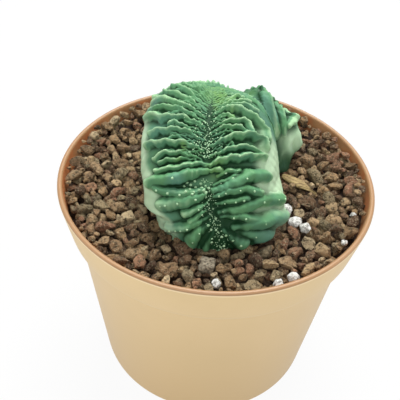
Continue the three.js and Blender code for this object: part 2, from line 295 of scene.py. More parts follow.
plastic = Finish("pale_plastic", 0.45, IOR=1.46)
height = plastic.node("ShaderNodeSeparateXYZ", {"Vector": plastic.place}).outputs["Z"]
# The outer wall is painted darker towards its foot, as shade.
up = plastic.ramp(height, 0.0, POT_HEIGHT * MM)
wall_tone = plastic.mix(up, colour_of("#bd9d68"), colour_of("#dabf8f"))
cloudy = plastic.ramp(plastic.noise(45.0), 0.3, 0.7, 0.0, 0.3)
wall_tone = plastic.mix(cloudy, wall_tone, colour_of("#c3a876"))
# Painted shade and soil-coloured reflected light for the inner wall.
inner_shade_tone = plastic.mix(plastic.ramp(plastic.noise(120.0), 0.4, 0.6), colour_of("#bd7548"),
                   colour_of("#ac8058"))
# A painted highlight: a pale line just below the lip.
edge = plastic.ramp(height, EDGE_FOOT * MM, (EDGE_FOOT + EDGE_FADE) * MM, 0.0, 0.55)
wall_tone = plastic.mix(edge, wall_tone, colour_of("#f4e0bb"))
wall_tone = plastic.mix(plastic.attribute("painted_inner_shade")["Red"], wall_tone, inner_shade_tone)
# The lip, painted darker as shade.
lip = plastic.ramp(height, LIP_FOOT * MM, (LIP_FOOT + EDGE_FADE) * MM)
plastic.colour(plastic.mix(lip, wall_tone, colour_of("#94714e")))
plastic.bump(plastic.noise(900.0, 2.0), 0.00004, 0.5)
pot.data.materials.append(plastic.material)
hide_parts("pot")
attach(pot, "root")

# ---------- the plant ----------
# The crested body: two thick fans grown together, a large one that arches from front to back and
# a smaller one behind it on the right. Ribs run outwards from the crest line to smooth flanks.
# Around a fan the angle goes from 0 at its near end over the top at 90 to 180 at its far end.
# Across it the angle goes from -90 at the foot of the left side over 0 to 90 at the right.
PLANT_SUNK = 4.0  # mm that the body reaches below the middle of a fan
ALONG_DEGREE = 0.34  # mm of skin for one degree across
AROUND_DEGREE = 0.46  # mm of skin for one degree around, near the crest
FAN_START = -8  # the angle around at which a fan's grid starts
RIB_FRINGE = 14  # how many degrees beyond its own line a rib is looked for
RING_CLOSENESS = 0.62  # how close the rows of the grid lie at the crest, where 1 is even
RIB_ENDS = (46, 58)  # the angles across at which the short and the long even ribs end
# The tone of the relief sets the painted shade in the grooves and the painted highlights on the edges.
TONE_SPREAD, TONE_DEPTH = 24, 1.8  # passes and mm of relief between groove and edge
VALLEY, VALLEY_PASSES = 1.8, 45  # mm from both fans within which the join is smoothed, and passes
SCAR_SHIFT = 0.8  # degrees that a scar sits to the near side of its rib's line

# A rib: half its width and its height in mm, the angles (around, across) that it runs through
# from the crest outwards, and the angles across at which a pale scar sits on it.
FRONT_LEFT_RIBS = (
    (1.3, 1.3, ((96, -5), (100, -12), (107, -19), (116, -27)), ()),
    (1.5, 1.6, ((89, -4), (92, -12), (96, -18), (102, -27), (115, -38)), ()),
    (1.6, 1.8, ((84, -4), (90, -18), (94, -26), (101, -36), (110, -45)), ()),
    (1.9, 2.3, ((77, -5), (81, -13), (86, -27), (92, -34), (104, -47)), ()),
    (1.7, 2.0, ((74, -5), (80, -21), (85, -33), (89, -42), (97, -51)), ()),
    (1.0, 1.5, ((76, -18), (79, -27), (80, -32)), ()),
    (1.7, 2.3, ((71, -5), (75, -20), (76, -29), (77, -35), (84, -43), (92, -51)), ()),
    (1.2, 2.0, ((65, -5), (69, -19), (73, -27), (71, -30)), ()),
    (1.7, 2.3, ((62, -4), (67, -18), (68, -30), (70, -44)), ()),
    (0.9, 1.4, ((61, -6), (64, -18), (65, -28)), ()),
    (1.0, 1.7, ((59, -5), (62, -20), (64, -27), (62, -30)), ()),
    (1.8, 2.5, ((57, -4), (60, -16), (61, -33), (63, -47)), ()),
    (0.9, 1.4, ((56, -4), (56, -13), (56, -21)), (-14,)),
    (1.5, 2.1, ((53, -9), (55, -21), (55, -32), (52, -38)), ()),
    (1.2, 1.7, ((52, -9), (52, -20), (51, -30), (50, -34)), ()),
    (1.5, 2.3, ((50, 2), (50, -8), (47, -23), (46, -31), (45, -35)), ()),
    (1.9, 2.5, ((47, 1), (45, -13), (42, -25), (41, -34), (39, -40)), (-23,)),
    (1.5, 1.9, ((37, 0), (35, -15), (35, -25), (36, -35)), (-33, -26, -18, -9)),
    (2.1, 2.1, ((35, 2), (32, -12), (30, -24), (28, -31)), (-30, -27, -19, -6)),
    (1.4, 1.8, ((31, 4), (28, -4), (25, -14)), (-3,)),
    (1.2, 1.6, ((29, 6), (25, -2), (21, -9)), (0,)),
    (1.5, 1.5, ((24, 7), (19, -10), (13, -28)), (-11, -16, -20, -25)),
    (2.1, 1.5, ((21, 9), (17, -1), (12, -6), (8, -8)), (-1, -6)),
    (1.6, 1.2, ((17, 12), (11, 8), (7, 6)), (10,)),
)
FRONT_RIGHT_RIBS = (
    (1.2, 1.5, ((89, 1), (94, 14), (100, 27)), ()),
    (1.2, 1.7, ((83, 0), (89, 12), (93, 24), (96, 32)), ()),
    (1.3, 1.8, ((82, 3), (88, 18), (91, 30), (90, 37)), ()),
    (2.0, 2.5, ((78, 1), (83, 9), (85, 20), (83, 32), (79, 44), (73, 46)), ()),
    (1.2, 1.7, ((75, 0), (80, 13), (80, 16), (76, 21)), ()),
    (0.9, 1.4, ((72, 0), (76, 6), (75, 10)), ()),
    (1.5, 2.2, ((69, 0), (73, 10), (77, 28), (76, 31), (71, 34)), ()),
    (1.5, 2.1, ((65, 0), (70, 9), (72, 23), (70, 31)), ()),
    (0.9, 1.4, ((65, 4), (70, 17), (68, 20)), ()),
    (1.9, 2.5, ((59, 1), (65, 17), (69, 30), (71, 42), (67, 45)), ()),
    (1.0, 1.6, ((58, 9), (61, 13), (60, 17), (63, 20), (60, 23)), ()),
    (0.8, 1.2, ((56, 1), (59, 11)), ()),
    (1.7, 2.2, ((54, 3), (60, 22), (62, 33), (60, 39)), ()),
    (2.0, 2.5, ((48, -2), (53, 12), (56, 28), (60, 43)), (25,)),
    (1.3, 2.1, ((47, 0), (48, 12)), ()),
    (1.2, 1.8, ((45, 11), (48, 20), (48, 26)), (17,)),
    (0.9, 1.4, ((40, 8), (43, 18), (46, 26)), (14, 22)),
    (2.1, 2.4, ((37, 8), (42, 24), (47, 34), (49, 46)), (30,)),
    (1.5, 2.1, ((34, 8), (38, 20), (40, 32), (38, 41)), (13, 18, 27, 35)),
    (1.3, 1.8, ((31, 10), (33, 22), (35, 33)), (18, 25, 30)),
    (2.1, 2.0, ((27, 14), (30, 30), (34, 44), (33, 62)), (42, 54, 60)),
    (1.5, 2.0, ((25, 16), (26, 30), (22, 42)), (25, 32)),
    (2.3, 2.3, ((19, 27), (21, 42), (21, 52), (13, 62)), (43,)),
    (2.0, 1.4, ((17, 19), (12, 28), (9, 33)), (21, 26, 31)),
    (1.6, 1.2, ((14, 19), (10, 20), (7, 21)), (20,)),
    (2.0, 1.4, ((16, 32), (12, 42), (6, 50)), (40,)),
)
BACK_RIBS = (
    (3.4, 1.9, ((93, -4), (97, 11), (100, 25), (104, 35), (110, 43), (119, 50)), ()),
    (3.0, 1.8, ((115, -2), (118, 12), (121, 22), (123, 31), (127, 42)), ()),
    (1.8, 2.3, ((126, -2), (133, 6), (136, 15), (134, 24), (130, 36)), ()),
)
# Single swellings and dents of the skin: angles around and across, radius and height in mm.
FRONT_KNOBS = ((112, -44, 2.2, 1.7), (97, 22, 1.5, 0.9), (105, -24, 1.4, 0.9), (103, -10, 1.4, 0.9),
               (12, 63, 9.5, 2.7), (4, 42, 7.0, 1.0), (6, 4, 12.0, 1.0), (26, -46, 7.0, 0.6),
               (104, -42, 9.0, 0.6), (103, -22, 6.0, 0.8), (2, -16, 7.0, -2.0), (3, -31, 5.0, -1.2),
               (2, 26, 4.0, -0.7), (84, -52, 9.0, 1.0))
BACK_KNOBS = ((86, -6, 1.1, 1.2), (78, -8, 1.2, 0.8), (106, -6, 1.4, 1.0), (130, 12, 2.4, 1.4),
              (79, -2, 3.0, 0.6), (157, 22, 6.0, 1.0), (166, 62, 7.0, 2.2), (137, 57, 4.0, -1.5),
              (156, 54, 2.2, -0.9), (152, 40, 2.0, -0.5))


def even_ribs(side, first, start, end, spacing, half, rise, sweep=0):
    """Evenly spaced ribs for the far sides, long and short in turn: each starts at an angle
    across and may be swept towards the near end."""
    angles = np.arange(start, end + 0.01, spacing)
    return tuple((half, rise, ((a, first), (a + 2 - sweep, first + 16 * side),
                               (a - 2.5 * sweep, RIB_ENDS[i % 2] * side)), ())
                 for i, a in enumerate(angles))


def wrinkles(side, start, end, spacing, reach, rise):
    """Fine wrinkles beside the crest, swept back as they leave it."""
    angles = np.arange(start, end + 0.01, spacing)
    return tuple((0.7, rise, ((a, side), (a + 4, 9 * side), (a + 6, reach[i % 2] * side)), ())
                 for i, a in enumerate(angles))


def scar_places(ribs):
    """The angles (around, across) of every scar that is listed with the ribs."""
    places = []
    for _, _, path, scars in ribs:
        line = sorted(path, key=lambda corner: corner[1])
        turns = np.interp(scars, [corner[1] for corner in line], [corner[0] for corner in line])
        places += [(float(a) - SCAR_SHIFT, c) for a, c in zip(turns, scars)]
    return places


SCARS = scar_places(FRONT_LEFT_RIBS + FRONT_RIGHT_RIBS)
FRONT_RIBS = (FRONT_LEFT_RIBS + FRONT_RIGHT_RIBS
              + wrinkles(-1, 50, 112, 2.4, (29, 20), 1.2) + wrinkles(1, 53, 112, 2.6, (20, 13), 1.15)
              + even_ribs(1, 3, 106, 120, 4.5, 1.5, 1.2)
              + even_ribs(-1, 22, 128, 186, 5.0, 1.7, 1.4, 4)
              + even_ribs(1, 26, 126, 186, 5.0, 1.7, 1.3))
SCAR_CUSHIONS = tuple((a + SCAR_SHIFT, c, 1.6, 0.3) for a, c in SCARS)
LEFT_TEETH = tuple((101 + 5 * (i % 2), -5 - 4 * i, 0.8, 0.8) for i in range(9))
TOP_TEETH = tuple((124.2 + 0.7 * i, -6 + 5 * i, 0.9, 0.7) for i in range(6))
# Each lobe: its middle and its reach in mm to the near end, the top, the far end and both sides,
# and by how many degrees it is turned from facing the front. Its left and right sides widen by
# "flare" away from the crest line, and its section is a superellipse with the power "boxy".
# "steps" lists up to which angle around the grid goes and in how many columns, and "rings" is the
# number of rows across. "fresh" is where the skin is young and yellow-green, and "bloom" where
# its wax is thick and blue-grey, each spot as angles around and across and a radius in mm.
FRONT_LOBE = {
    "middle": (-2.6, -1.5, 67.0), "turn": 0.0, "near": 26.9, "top": 28.0, "far": 29.5,
    "left": 17.0, "right": 15.8, "flare": (0.0, 4.8), "boxy": 3.6,
    "steps": ((110, 300), (188, 84), (FAN_START + 360, 10)), "rings": 190,
    "ribs": FRONT_RIBS, "knobs": FRONT_KNOBS + SCAR_CUSHIONS + LEFT_TEETH + TOP_TEETH,
    "fresh": ((48, 9, 3.0), (58, -19, 1.2), (51, -22, 1.2), (97, 8, 5.0), (108, 4, 5.0), (86, 3, 2.5),
              (80, 20, 2.0)),
    "bloom": ((96, -47, 3.5), (70, -40, 4.5), (8, 52, 6.0), (12, -32, 6.0), (40, -21, 2.0),
              (94, 52, 6.0)),
}
BACK_LOBE = {
    "middle": (11.8, 14.0, 67.0), "turn": 90.0, "near": 13.5, "top": 23.4, "far": 13.3,
    "left": 8.4, "right": 8.4, "flare": (0.0, -1.4), "boxy": 3.0,
    "steps": ((188, 170), (FAN_START + 360, 8)), "rings": 120,
    "ribs": BACK_RIBS + even_ribs(-1, -26, 20, 172, 8, 1.4, 1.0), "knobs": BACK_KNOBS,
    "fresh": ((72, 6, 3.0),),
    "bloom": ((84, 30, 6.0), (94, 40, 5.0), (108, 40, 4.0), (149, 45, 2.5), (163, 60, 3.0)),
}


def soft_step(value, low, high):
    """Rises smoothly from 0 to 1 as the value goes from low to high."""
    share = np.clip((value - low) / (high - low), 0.0, 1.0)
    return share * share * (3 - 2 * share)


def crest_line(lobe, around):
    """Where the crest line lies across the fan. On the front lobe it bears to the right on its
    way down to the near end, and again behind the top."""
    if lobe is BACK_LOBE:
        return np.zeros_like(around)
    return np.clip(45.0 - around, 0.0, 50.0) * 0.47 + np.clip(around - 92.0, 0.0, 16.0) * 1.5


def relief(lobe, around, across, arm):
    """Height of the ribs above the body in mm, for grid points whose arm is so many mm long. A
    rib is steep on its far side and broad on its near side. The upper ones have a sharp, crinkled
    edge, and the lower ones are round like fingers. Those of the back lobe are blunter."""
    out_degree = arm * math.pi / 180
    height = np.zeros_like(around)
    crinkle, bite = (0.12, 0.4) if lobe is BACK_LOBE else (1.0, 1.0)
    for number, (half, rise, path, _) in enumerate(lobe["ribs"]):
        path = np.array(path, float)
        low, high = path.min(0) - RIB_FRINGE, path.max(0) + RIB_FRINGE
        here = ((around > low[0]) & (around < high[0]) & (across > low[1]) & (across < high[1]))
        a, c, scale = around[here], across[here], out_degree[here]
        sharp = soft_step(path[:, 0].mean(), 40.0, 56.0) * bite
        # How far along the rib each point lies, and how its line wanders to and fro there.
        run = np.hypot((c - path[0, 1]) * ALONG_DEGREE, 0.6 * (a - path[0, 0]) * scale)
        wander = 0.20 * np.sin(1.7 * run + 1.3 * number) + 0.08 * np.sin(4.1 * run + number)
        wander *= (0.3 + 0.7 * crinkle) * (0.5 + 0.5 * sharp)
        # How far from the line it lies, with the far side narrowed more than the near side.
        nearest = np.full(a.shape, np.inf)
        for (a0, c0), (a1, c1) in zip(path, path[1:]):
            along, out = (c1 - c0) * ALONG_DEGREE, (a1 - a0) * scale
            dx, dy = (c - c0) * ALONG_DEGREE, (a - a0) * scale + wander
            share = np.clip((dx * along + dy * out) / (along ** 2 + out ** 2), 0.0, 1.0)
            dx, dy = dx - share * along, dy - share * out
            dy *= np.where(dy > 0, 1.3 + 0.9 * sharp, 0.85 + 0.5 * sharp)
            nearest = np.minimum(nearest, dx ** 2 + dy ** 2)
        # The rib is slender at the crest, where its edge is notched most.
        thin = 0.5 + 0.5 * soft_step(run, 0.0, 6.0)
        beat = np.sin(2 * math.pi * run / 1.7 + 1.6 * np.sin(0.9 * run + number) + 2.1 * number)
        notched = (0.04 + 0.11 * (1 - soft_step(run, 2.0, 7.0))) * (1 + beat) * (0.35 + 0.65 * sharp)
        far = np.clip(nearest / (half * thin) ** 2, 0.0, 1.0)
        profile = (1 - sharp) * (1 - far) ** 0.75 + sharp * (1 - far ** 0.62)
        tall = rise * thin * (1.25 - 0.25 * sharp) * (1 - crinkle * notched)
        height[here] = np.maximum(height[here], tall * profile)
    return height


def broad_forms(lobe, around, across, from_crest):
    """How far the smooth flanks swell to the height of the ribs, and how far the body is drawn
    in, in mm."""
    if lobe is BACK_LOBE:
        swell = 0.6 * soft_step(np.abs(across), 30.0, 50.0)
        shoulder = np.sin(np.radians(np.clip(around - 87.0, 0.0, 58.0)) * 180 / 58)
        form = (-2.9 * shoulder * (1 - soft_step(np.abs(across), 20.0, 60.0) * 0.6)
                - 2.7 * soft_step(around, 158.0, 170.0) * (1 - 0.9 * soft_step(across, 36.0, 54.0)))
        return swell, form
    raised = np.where(across < 0, soft_step(around, 25.0, 55.0), 1.0)
    swell = soft_step(np.abs(across), 36.0, 58.0) * raised
    left, far_left = soft_step(-across, 10.0, 30.0), soft_step(-across, 26.0, 50.0)
    form = (-0.6 * left * (1 - soft_step(around, 25.0, 50.0))
            - (1.3 * left + 1.5 * far_left) * (1 - soft_step(around, 15.0, 21.0))
            - 1.2 * np.exp(-(from_crest / 5.5) ** 2) * soft_step(around, 68.0, 98.0))
    return swell, form


def skin(lobe, around, across, extra=0.0):
    """Points of a lobe's skin in mm, or so much above it, with their normals and the height of
    the ribs there."""
    # The plain body: a thick disc on edge, whose section across is a superellipse.
    turn = math.radians(lobe["turn"])
    ahead = np.array((math.sin(turn), math.cos(turn), 0.0))
    aside = np.array((math.cos(turn), -math.sin(turn), 0.0))
    upward = np.array((0.0, 0.0, 1.0))
    angle, sweep = np.radians(around), np.radians(across)
    n = lobe["boxy"]
    scale = (np.abs(np.sin(sweep)) ** n + np.abs(np.cos(sweep)) ** n) ** (-1 / n)
    outward, arm = np.sin(sweep) * scale, np.cos(sweep) * scale
    half = np.where(across < 0, lobe["left"] + lobe["flare"][0] * (1 - arm),
                    lobe["right"] + lobe["flare"][1] * (1 - arm))
    reach = np.where(np.cos(angle) > 0, lobe["near"], lobe["far"])
    rise = np.where(np.sin(angle) > 0, lobe["top"], PLANT_SUNK)
    point = (np.array(lobe["middle"]) + (outward * half)[:, None] * aside
             - (arm * np.cos(angle) * reach)[:, None] * ahead
             + (arm * np.sin(angle) * rise)[:, None] * upward)
    tilt = arm ** (n - 1)
    normal = ((np.sign(outward) * np.abs(outward) ** (n - 1) / half)[:, None] * aside
              - (tilt * np.cos(angle) / reach)[:, None] * ahead
              + (tilt * np.sin(angle) / lobe["top"])[:, None] * upward)
    normal /= np.linalg.norm(normal, axis=1)[:, None]

    # The ribs, cut through by the furrow of the crest line. Where the tip bridges from the lower
    # half of the front lobe to the upper one, it has no furrow.
    ribs = relief(lobe, around, across, arm * reach)
    from_crest = (across - crest_line(lobe, around)) * ALONG_DEGREE
    furrow = 0.8 * np.exp(-(from_crest / 0.7) ** 2) * (1 - soft_step(around, 84.0, 94.0))
    if lobe is FRONT_LOBE:
        furrow *= 1 - soft_step(around, 43.0, 45.0) * (1 - soft_step(around, 51.0, 53.0))
    ribs = ribs * (1 - furrow)
    swell, form = broad_forms(lobe, around, across, from_crest)
    lift = np.maximum(ribs, swell)
    for a, c, radius, rise in lobe["knobs"]:
        far = (((across - c) * ALONG_DEGREE) ** 2
               + ((around - a) * arm * reach * math.pi / 180) ** 2) / radius ** 2
        lift = lift + rise * np.clip(1 - far, 0.0, 1.0) ** 2
    # The skin is slightly uneven all over, and tucks in where it meets the soil.
    wave = point * 1.35
    uneven = (np.sin(wave[:, 0] + 0.7 * wave[:, 1]) * np.sin(wave[:, 1] * 1.1 + 1.3 * wave[:, 2])
              + 0.6 * np.sin(2.3 * wave[:, 0] - wave[:, 2]) * np.sin(1.9 * wave[:, 1] + wave[:, 0]))
    tucked = 1.6 * soft_step(69.4 - point[:, 2], 0.0, 2.4)
    lift = lift + form + 0.07 * uneven - tucked
    return point + normal * (lift + extra)[:, None], normal, ribs


def patches(spots, around, across):
    """How far each point lies inside one of the patches of colour, from 0 to 1."""
    cover = np.zeros_like(around)
    for a, c, radius in spots:
        far = ((across - c) * ALONG_DEGREE) ** 2 + ((around - a) * AROUND_DEGREE) ** 2
        cover = np.maximum(cover, np.exp(-far / radius ** 2))
    return cover


def relief_tone(ribs, column, row, columns, rows):
    """0 in the grooves, 1 on the edges of the ribs and 0.5 on smooth skin: the measure by which shade is
    painted into the grooves and highlights onto the rib edges.
    """
    field = np.zeros((columns, rows + 1))
    field[column, row] = ribs
    level = field.copy()
    for _ in range(TONE_SPREAD):
        level = (np.roll(level, 1, 0) + np.roll(level, -1, 0) + 2 * level) / 4
        level[:, 1:-1] = (level[:, 2:] + level[:, :-2] + 2 * level[:, 1:-1]) / 4
    return np.clip(0.5 + (field - level)[column, row] / TONE_DEPTH, 0.0, 1.0)


def front_colouring(around, across, ribs, tone):
    """The front lobe's tone of painted shade and highlight, how pale its flanks are grown, and the angle
    at which they start.
    """
    edge = np.where(across < 0, 30.0 + 15.0 * soft_step(around, 34.0, 52.0), 36.0)
    edge -= np.where(across < 0, 13.0 * (1 - soft_step(around, 14.0, 24.0)), 0.0)
    right_low = np.maximum(soft_step(around, 20.0, 30.0), soft_step(across, 48.0, 58.0))
    right_far = soft_step(around - 35.0 * soft_step(across, 48.0, 80.0), 69.0, 95.0)
    grown = np.where(across < 0, 0.75 + 0.25 * soft_step(around, 14.0, 24.0),
                     right_low * (1 - right_far))
    # Beside the crest the wrinkles get stronger painted shade and highlight and are painted darker,
    # and the furrow itself is painted dark as shade, but for the bridge and the part behind the top.
    from_crest = (across - crest_line(FRONT_LOBE, around)) * ALONG_DEGREE
    wrinkled = np.exp(-(from_crest / 5.0) ** 2) * soft_step(around, 50.0, 56.0)
    tone = 0.5 + (tone - 0.5) * (1 + np.where(tone < 0.5, 1.5, 0.3) * wrinkled) - 0.06 * wrinkled
    bridge = soft_step(around, 33.0, 38.0) * (1 - soft_step(around, 51.0, 56.0))
    seam = (1 - 0.8 * bridge) * (1 - 0.7 * soft_step(around, 80.0, 92.0))
    tone -= 0.30 * np.exp(-(from_crest / 1.6) ** 2) * seam
    # Painted shade along the lower crest.
    tone -= 0.10 * np.exp(-(from_crest / 7.0) ** 2) * (1 - soft_step(around, 16.0, 40.0))
    # The round lower ribs get a painted highlight on top and painted shade between them, the shade
    # stronger on the right than on the left.
    low = (1 - soft_step(around, 31.0, 38.0)) * (1 - soft_step(np.abs(across), edge - 6, edge))
    tone += low * (0.12 * soft_step(ribs, 0.8, 2.0) - np.where(across > 0, 0.22, 0.04))
    # Painted shade in two hollows, one of them the fold towards the back lobe.
    tone -= 0.12 * patches(((94, 50, 9.0), (38, 28, 7.0)), around, across)
    return tone, grown, edge


def back_colouring(around, across, z, tone):
    """The same for the back lobe, with painted highlights on its rib edges and painted shade at its foot
    and in the folds of its far end.
    """
    edge = np.where(across > 0, 12.0, 30.0) + 3.0 * np.sin(z)
    grown = soft_step(-z, -83.0, -79.0) * soft_step(around, 122.0, 134.0)
    foot = np.maximum(soft_step(across, 45.0, 66.0), soft_step(-z, -78.0, -71.5))
    # Painted highlights on the rib edges, and the skin away from the pale bulge darker.
    tone = 0.5 + (tone - 0.5) * np.where(tone > 0.5, 2.2, 1.0) - 0.10 * (1 - grown)
    # Painted shade at the foot and in the folds of the far end.
    tone -= 0.26 * grown * foot + 0.22 * patches(((137, 58, 4.0), (156, 57, 3.0)), around, across)
    return tone, grown * (1 - 0.85 * foot), edge


def lobe_object(name, lobe):
    """A lobe as a closed body: a sphere's grid, each point moved to its place on the skin."""
    angles, start = [], FAN_START
    for end, columns in lobe["steps"]:
        angles.append(np.linspace(start, end, columns, endpoint=False))
        start = end
    angles = np.concatenate(angles)
    work = bmesh.new()
    bmesh.ops.create_uvsphere(work, u_segments=len(angles), v_segments=lobe["rings"], radius=1.0)
    mesh = mesh_of(work, name)
    place = np.zeros(len(mesh.vertices) * 3, np.float32)
    mesh.vertices.foreach_get("co", place)
    x, y, z = place.reshape(-1, 3).T.astype(float)
    column = np.round(np.arctan2(y, x) / (2 * math.pi) * len(angles)).astype(int) % len(angles)
    ring = -np.arcsin(np.clip(z, -1.0, 1.0)) / (math.pi / 2)
    across = 90.0 * (RING_CLOSENESS * ring + (1 - RING_CLOSENESS) * ring ** 3)
    around = angles[column]
    points, _, ribs = skin(lobe, around, across)
    mesh.vertices.foreach_set("co", (points * MM).astype(np.float32).ravel())
    row = np.round((ring + 1) / 2 * lobe["rings"]).astype(int)
    tone = relief_tone(ribs, column, row, len(angles), lobe["rings"])
    if lobe is FRONT_LOBE:
        tone, grown, edge = front_colouring(around, across, ribs, tone)
    else:
        tone, grown, edge = back_colouring(around, across, points[:, 2], tone)
    # The flank is pale where no rib crosses it.
    bare = np.clip(1.3 - (0.45 + 0.25 * soft_step(around, 18.0, 30.0)) * ribs, 0.0, 1.0)
    flank = grown * soft_step(np.abs(across), edge, edge + 8.0) * bare
    tones = np.stack([tone, flank, patches(lobe["fresh"], around, across),
                      patches(lobe["bloom"], around, across)], axis=1)
    return add_object(name, mesh), points * MM, tones


plant, front_points, front_tones = lobe_object("plant_body", FRONT_LOBE)
back, back_points, back_tones = lobe_object("back_lobe", BACK_LOBE)
body_mesh = joined(plant, back, "UNION")


def nearest_of(points, mesh):
    """For each vertex of the mesh, the nearest of the points and how far away it is."""
    tree = kdtree.KDTree(len(points))
    for i, point in enumerate(points):
        tree.insert(point, i)
    tree.balance()
    found = [tree.find(v.co) for v in mesh.vertices]
    return np.array([f[1] for f in found]), np.array([f[2] for f in found])


on_front, front_gap = nearest_of(front_points, body_mesh)
on_back, back_gap = nearest_of(back_points, body_mesh)
tones = np.where((front_gap < back_gap)[:, None], front_tones[on_front], back_tones[on_back])
paint = body_mesh.attributes.new("growth_and_painted_light", "FLOAT_COLOR", "POINT")
paint.data.foreach_set("color", tones.astype(np.float32).ravel())

# Where the fans meet, the skin runs from one to the other in a soft valley.
work = bmesh.new()
work.from_mesh(body_mesh)
work.verts.ensure_lookup_table()
valley = [work.verts[i] for i in np.nonzero(np.maximum(front_gap, back_gap) < VALLEY * MM)[0]]
for _ in range(VALLEY_PASSES):
    bmesh.ops.smooth_vert(work, verts=valley, factor=0.5, use_axis_x=True, use_axis_y=True,
                          use_axis_z=True)
work.to_mesh(body_mesh)
work.free()

# The painted attribute holds in red the tone of the relief, by which shade is painted into the
# grooves and highlights onto the rib edges, the pale flanks in green, the young skin in blue and
# the bloom in alpha.
green = Finish("plant_skin", 0.5, Specular_IOR_Level=0.12)
growth_and_painted_light = green.attribute("growth_and_painted_light")
bloom = green.node("ShaderNodeAttribute", attribute_name="growth_and_painted_light").outputs["Alpha"]
skin_tone = colour_of("#538259")
clouds = green.ramp(green.noise(170.0), 0.42, 0.66, 0.0, 0.55)
skin_tone = green.mix(clouds, skin_tone, colour_of("#487460"))
skin_tone = green.mix(green.ramp(bloom, 0.15, 0.9, 0.0, 0.75), skin_tone, colour_of("#5c8a78"))
speckle = green.ramp(green.noise(420.0), 0.35, 0.65, 0.1, 0.55)
fresh = green.maths("MULTIPLY", green.ramp(growth_and_painted_light["Blue"], 0.1, 0.9), speckle)
skin_tone = green.mix(fresh, skin_tone, colour_of("#7a9f52"))
flank = green.maths("MULTIPLY", growth_and_painted_light["Green"], green.ramp(green.noise(160.0), 0.2, 0.6, 0.75, 1.0))
skin_tone = green.mix(flank, skin_tone, colour_of("#b4cfac"))
# Painted highlights on the rib edges.
edge = green.ramp(growth_and_painted_light["Red"], 0.68, 0.98, 0.0, 0.7)
skin_tone = green.mix(edge, skin_tone, colour_of("#a6c99c"))
# Painted shade in the grooves, weaker on the pale flanks.
groove = green.ramp(growth_and_painted_light["Red"], 0.49, 0.24, 0.0, 0.95)
groove = green.maths("MULTIPLY", groove, green.ramp(growth_and_painted_light["Green"], 0.0, 1.0, 1.0, 0.25))
skin_tone = green.mix(groove, skin_tone, colour_of("#12341c"))
green.colour(skin_tone)
green.bump(green.noise(1300.0), 0.00012, 0.7)
body_mesh.materials.append(green.material)
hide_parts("plant")
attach(plant, "root")

# ---------- the scars and specks ----------
# Pale corky dots: flower scars that sit along the lower ribs, and close-set leaf specks that
# fill the crest line. Each is a small flattened bead on the skin.
SCAR_CLUSTER = ((38, -16), (39, -11), (37, -11), (38, -7), (38, -2), (40, -3), (37, 0), (39, 1),
                (40, -14), (36, -14), (41, -8), (36, -8), (37, -4), (41, 0), (36, 2), (38, 4),
                (17, 9), (17, 13), (14, 18), (7, 18), (11, 10), (20, 6), (23, 12))
SCAR_SIZES = (0.24, 0.38)  # their smallest and largest radius in mm
SCAR_LIFT = 0.05  # mm from the skin to their middles
# The specks below the bridge, beside the upper crest and strewn over the upper ribs: how many,
# and their smallest, largest and most common radius in mm.
LOW_SPECKS, LOW_SIZES = 170, (0.08, 0.24, 0.12)
CREST_SPECKS, CREST_SIZES = 110, (0.12, 0.26, 0.16)
STREWN_SPECKS, STREWN_SIZES = 70, (0.10, 0.22, 0.14)
BRIDGE_FROM, BRIDGE_TO = 42.5, 53.0  # the angles around between which the crest bridges
rng = random.Random(5)
spots = [(a, c, SCAR_SIZES[1]) for a, c in SCAR_CLUSTER]
spots += [(a, c, rng.uniform(*SCAR_SIZES)) for a, c in SCARS]
for _ in range(LOW_SPECKS):
    a = rng.uniform(4.0, BRIDGE_FROM)
    c = float(crest_line(FRONT_LOBE, np.array([a]))[0]) + rng.gauss(0, 3.6)
    spots.append((a, c, rng.triangular(*LOW_SIZES)))
for _ in range(CREST_SPECKS):
    a = BRIDGE_TO + abs(rng.gauss(0, 14.0))
    spots.append((a, rng.gauss(0, 5.0), rng.triangular(*CREST_SIZES)))
for _ in range(STREWN_SPECKS):
    a = rng.uniform(BRIDGE_TO, 80.0)
    c = -abs(rng.gauss(0, 12.0)) if rng.random() < 0.6 else abs(rng.gauss(0, 11.0))
    spots.append((a, c, rng.triangular(*STREWN_SIZES)))
spot_table = np.array(spots)
centres, outwards, _ = skin(FRONT_LOBE, spot_table[:, 0], spot_table[:, 1], SCAR_LIFT)
work = bmesh.new()
for centre, way, size in zip(centres, outwards, spot_table[:, 2]):
    turn = Vector(way).to_track_quat("Z", "Y").to_matrix().to_4x4()
    shape = Matrix.Diagonal((size * rng.uniform(0.85, 1.2), size, size * 0.6, 1)) * MM
    shape[3][3] = 1.0
    place = Matrix.Translation(Vector(centre) * MM)
    bmesh.ops.create_icosphere(work, subdivisions=1, radius=1.0, matrix=place @ turn @ shape)
cork = Finish("pale_cork", 0.7)
cork.colour(cork.mix(cork.ramp(cork.noise(700.0), 0.4, 0.6), colour_of("#a9cba2"), colour_of("#83aa80")))
scars = add_object("scars", mesh_of(work, "scars"), cork)
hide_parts("plant")
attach(scars, "root")

# ---------- the soil ----------
# A gritty mix of brown lava and baked clay fills the pot. Below its surface it is one body,
# painted dark as the shade deep between the grains.
# On top lie a lower layer of grains, an upper one of larger grains, and small ones between these.
SOIL_TOP = 66.6
FILL_GAP, FILL_FLARE = 0.3, 0.5
FILL_TURNS = 96
THROW_REACH = 43.4  # mm from the pot's axis within which grains are thrown
GRAVEL_REACH = 43.0  # mm from it within which they have to lie
CELL = 7  # mm across a cell of the grid in which a grain's neighbours are looked up
FLATS, FLAT_DEPTHS = 8, (0.42, 0.8)
# Each tone of the grains, and how common it is.
GRAIN_TONES = (
    ("#8f7352", 5), ("#80664a", 5), ("#9c8160", 4), ("#6b523d", 4), ("#a68c68", 3),
    ("#866149", 3), ("#88775a", 3), ("#574232", 3), ("#8e6a50", 2), ("#b09b79", 2),
    ("#7a6c53", 1),
)


